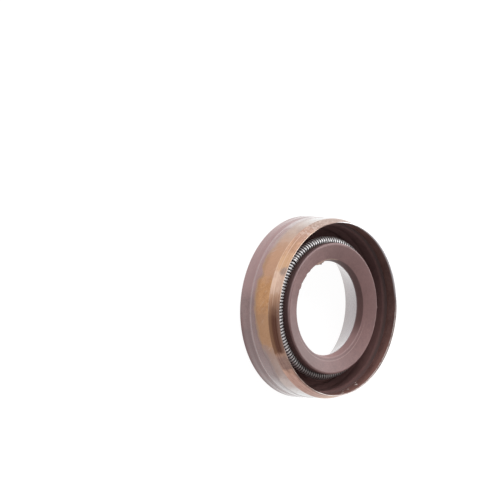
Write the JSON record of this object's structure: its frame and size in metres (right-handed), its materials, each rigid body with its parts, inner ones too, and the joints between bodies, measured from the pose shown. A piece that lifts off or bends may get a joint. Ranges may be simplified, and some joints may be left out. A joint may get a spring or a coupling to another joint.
{
  "type": "oil seal",
  "caption": "Radial shaft oil seal: rubber lip body moulded round a stepped metal case, with a garter spring round the lip and pockets in the back face.",
  "frame": {"origin": "centre of the back face, on the plane of its raised rim", "axes": "+Z along the shaft axis, from the back face towards the spring side"},
  "size_m": [0.0242, 0.0242, 0.007],
  "materials": {
    "rubber": "moulded satin, mauve brown",
    "coated_steel": "steel with a thin gold brown bonding coat",
    "spring_steel": "bright drawn wire"
  },
  "bodies": {
    "root": {"rubber_body": "rubber", "metal_case": "coated_steel", "garter_spring": "spring_steel"}
  },
  "joints": []
}
